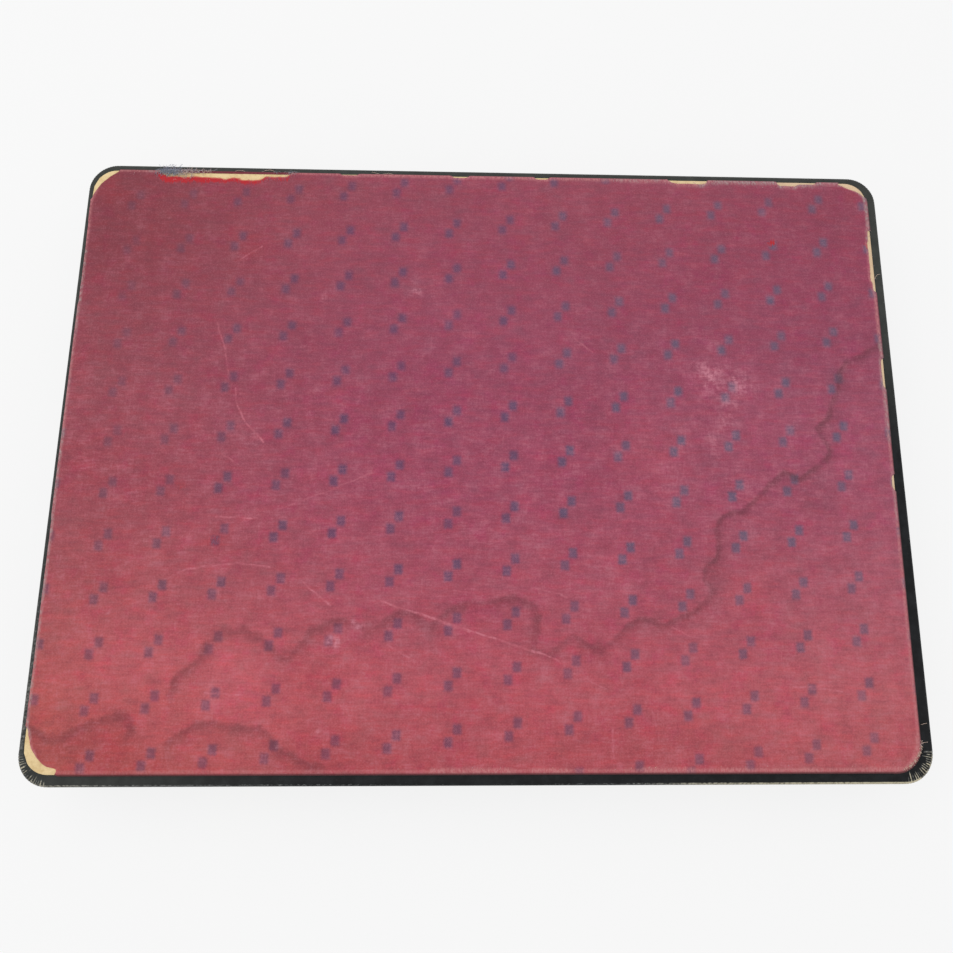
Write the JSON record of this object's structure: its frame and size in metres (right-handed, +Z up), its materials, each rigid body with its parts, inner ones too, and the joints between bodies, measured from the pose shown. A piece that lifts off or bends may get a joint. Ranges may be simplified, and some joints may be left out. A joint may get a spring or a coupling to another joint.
{
  "type": "fleet guessing case",
  "caption": "Flat folding case with a worn red cloth panel on a black lid, holding pegboards, ships, pegs and covered peg bays for a two-sided grid guessing game.",
  "frame": {"origin": "centre of the case's outline, on the table under its feet", "axes": "+X along the long side to the right of the picture, +Y towards the hinged back edge (the top of the picture), +Z up through the cloth panel"},
  "size_m": [0.38, 0.279, 0.039],
  "materials": {
    "black_leathercloth": "smooth black leathercloth, worn pale along the arrises",
    "red_cloth": "worn plain-weave red cloth with small woven check squares in pairs",
    "cream_card": "uncoated cream card",
    "rim_wood": "waxed softwood",
    "plywood": "sanded plywood",
    "pegboard": "hardboard, painted blue, with a printed grid",
    "brass": "tarnished brass",
    "black_rubber": "matt",
    "grey_paint": "turned and sawn wood, painted grey",
    "white_plastic": "moulded",
    "red_plastic": "moulded"
  },
  "bodies": {
    "base": {"base_covering": "black_leathercloth", "base_rim": "rim_wood", "ocean_cleat_front": "rim_wood", "ocean_cleat_back": "rim_wood", "bay_divider_left": "rim_wood", "bay_divider_right": "rim_wood", "bay_runner_left": "rim_wood", "bay_runner_right": "rim_wood", "bay_partition_left": "rim_wood", "bay_partition_right": "rim_wood", "base_floor": "plywood", "bay_deck_left": "plywood", "bay_deck_right": "plywood", "ocean_board": "pegboard", "hinge_base_leaf_left": "brass", "hinge_base_leaf_right": "brass", "hinge_pin_left": "brass", "hinge_pin_right": "brass", "catch_plate_left": "brass", "catch_plate_right": "brass", "hinge_base_screw_left_outer": "brass", "hinge_base_screw_left_inner": "brass", "hinge_base_screw_right_outer": "brass", "hinge_base_screw_right_inner": "brass", "foot_front_left": "black_rubber", "foot_front_right": "black_rubber", "foot_back_left": "black_rubber", "foot_back_right": "black_rubber"},
    "lid": {"lid_rim": "rim_wood", "lid_top_board": "plywood", "lid_covering": "black_leathercloth", "card_panel": "cream_card", "red_cloth": "red_cloth", "target_board": "pegboard", "target_ledger_left": "rim_wood", "target_ledger_right": "rim_wood", "hinge_lid_leaf_left": "brass", "hinge_lid_leaf_right": "brass", "keeper_left": "brass", "keeper_right": "brass", "hinge_lid_screw_left_outer": "brass", "hinge_lid_screw_left_inner": "brass", "hinge_lid_screw_right_outer": "brass", "hinge_lid_screw_right_inner": "brass"},
    "catch_slide_left": {"catch_slide_left": "brass"},
    "catch_slide_right": {"catch_slide_right": "brass"},
    "bay_cover_left": {"bay_cover_left": "plywood"},
    "bay_cover_right": {"bay_cover_right": "plywood"},
    "ship_five": {"ship_five": "grey_paint"},
    "ship_four": {"ship_four": "grey_paint"},
    "ship_three_long": {"ship_three_long": "grey_paint"},
    "ship_three_short": {"ship_three_short": "grey_paint"},
    "ship_two": {"ship_two": "grey_paint"},
    "peg_white_left": {"peg_white_left": "white_plastic"},
    "peg_white_right": {"peg_white_right": "white_plastic"},
    "peg_red_left": {"peg_red_left": "red_plastic"},
    "peg_red_right": {"peg_red_right": "red_plastic"}
  },
  "joints": [
    {"name": "lid_hinge", "type": "hinge", "parent": "base", "child": "lid", "pos_m": [0, 0.1355, 0.02195], "axis": [-1, 0, 0], "range_deg": [0, 105]},
    {"name": "catch_left_slide", "type": "slide", "parent": "base", "child": "catch_slide_left", "axis": [1, 0, 0], "range_m": [0, 0.006]},
    {"name": "catch_right_slide", "type": "slide", "parent": "base", "child": "catch_slide_right", "axis": [-1, 0, 0], "range_m": [0, 0.006]},
    {"name": "bay_cover_left_slide", "type": "slide", "parent": "base", "child": "bay_cover_left", "axis": [0, 1, 0], "range_m": [0, 0.11]},
    {"name": "bay_cover_right_slide", "type": "slide", "parent": "base", "child": "bay_cover_right", "axis": [0, 1, 0], "range_m": [0, 0.11]},
    {"name": "ship_five_lift", "type": "slide", "parent": "base", "child": "ship_five", "axis": [0, 0, 1], "range_m": [0, 0.0036]},
    {"name": "ship_four_lift", "type": "slide", "parent": "base", "child": "ship_four", "axis": [0, 0, 1], "range_m": [0, 0.0036]},
    {"name": "ship_three_long_lift", "type": "slide", "parent": "base", "child": "ship_three_long", "axis": [0, 0, 1], "range_m": [0, 0.0036]},
    {"name": "ship_three_short_lift", "type": "slide", "parent": "base", "child": "ship_three_short", "axis": [0, 0, 1], "range_m": [0, 0.0036]},
    {"name": "ship_two_lift", "type": "slide", "parent": "base", "child": "ship_two", "axis": [0, 0, 1], "range_m": [0, 0.0036]},
    {"name": "peg_white_left_lift", "type": "slide", "parent": "base", "child": "peg_white_left", "axis": [0, 0, 1], "range_m": [0, 0.0036]},
    {"name": "peg_white_right_lift", "type": "slide", "parent": "base", "child": "peg_white_right", "axis": [0, 0, 1], "range_m": [0, 0.0036]},
    {"name": "peg_red_left_lift", "type": "slide", "parent": "base", "child": "peg_red_left", "axis": [0, 0, 1], "range_m": [0, 0.0036]},
    {"name": "peg_red_right_lift", "type": "slide", "parent": "base", "child": "peg_red_right", "axis": [0, 0, 1], "range_m": [0, 0.0036]}
  ]
}
